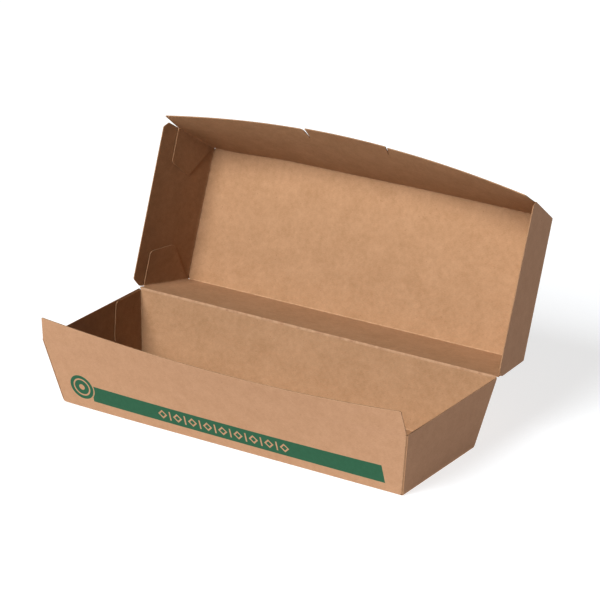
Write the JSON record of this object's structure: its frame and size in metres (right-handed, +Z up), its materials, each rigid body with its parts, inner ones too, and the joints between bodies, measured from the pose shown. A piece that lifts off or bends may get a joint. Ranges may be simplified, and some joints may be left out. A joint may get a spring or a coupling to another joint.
{
  "type": "hinged kraft food box",
  "caption": "Long folded kraft board food box with flared walls and a hinged lid standing open, lock tongue in the lid's front wall.",
  "frame": {"origin": "middle of the tray's flat base, on the surface it stands on", "axes": "+X along the box to the right seen from the front, -Y out of the front wall, +Z up"},
  "size_m": [0.2192, 0.1529, 0.1312],
  "materials": {
    "tray_board": "uncoated kraft board with a printed green band on the front wall",
    "lid_board": "uncoated kraft board"
  },
  "bodies": {
    "tray": {"tray": "tray_board"},
    "lid": {"lid": "lid_board"}
  },
  "joints": [
    {"name": "lid_hinge", "type": "hinge", "parent": "tray", "child": "lid", "pos_m": [0, 0.0419, 0.0359], "axis": [1, 0, 0], "range_deg": [-69.1, 100]}
  ]
}
